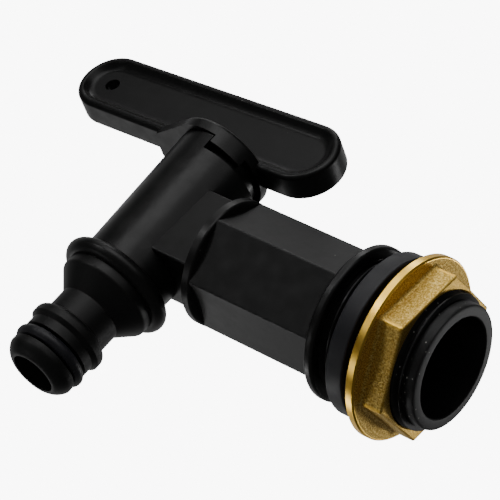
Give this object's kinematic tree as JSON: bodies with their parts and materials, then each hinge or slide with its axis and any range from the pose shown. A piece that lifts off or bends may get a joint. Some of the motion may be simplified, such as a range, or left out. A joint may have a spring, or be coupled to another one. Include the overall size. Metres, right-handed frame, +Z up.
{
  "type": "water butt tap",
  "caption": "Black plastic quarter-turn lever tap with a six-sided inlet arm, a threaded tail with rubber washer and flanged brass back nut, and a ringed hose nose.",
  "frame": {"origin": "centre of the flange's sealing face, on the inlet axis", "axes": "+X out along the threaded tail, +Z up the barrel towards the lever, +Y by the right-hand rule"},
  "size_m": [0.1153, 0.036, 0.0748],
  "materials": {
    "black_plastic": "moulded, half matt",
    "black_rubber": "matt",
    "brass": "cast hexagon with machined rims"
  },
  "bodies": {
    "body": {"tap_body": "black_plastic", "nose_o_ring": "black_rubber"},
    "lever": {"lever_handle": "black_plastic", "plug_upper_o_ring": "black_rubber", "plug_lower_o_ring": "black_rubber"},
    "washer": {"sealing_washer": "black_rubber"},
    "nut": {"back_nut": "brass"}
  },
  "joints": [
    {"name": "lever_turn", "type": "hinge", "parent": "body", "child": "lever", "pos_m": [-0.0489, 0, 0], "axis": [0, 0, 1], "range_deg": [0, 90]},
    {"name": "washer_slide", "type": "slide", "parent": "body", "child": "washer", "axis": [1, 0, 0], "range_m": [-0.0033, 0.0046]},
    {"name": "nut_turn", "type": "hinge", "parent": "washer", "child": "nut", "pos_m": [0, 0, 0], "axis": [1, 0, 0], "range_deg": [-650, 900]}
  ],
  "couplings": [
    {"joint": "washer_slide", "follows": "nut_turn", "m_per_rad": 0.00028871}
  ]
}
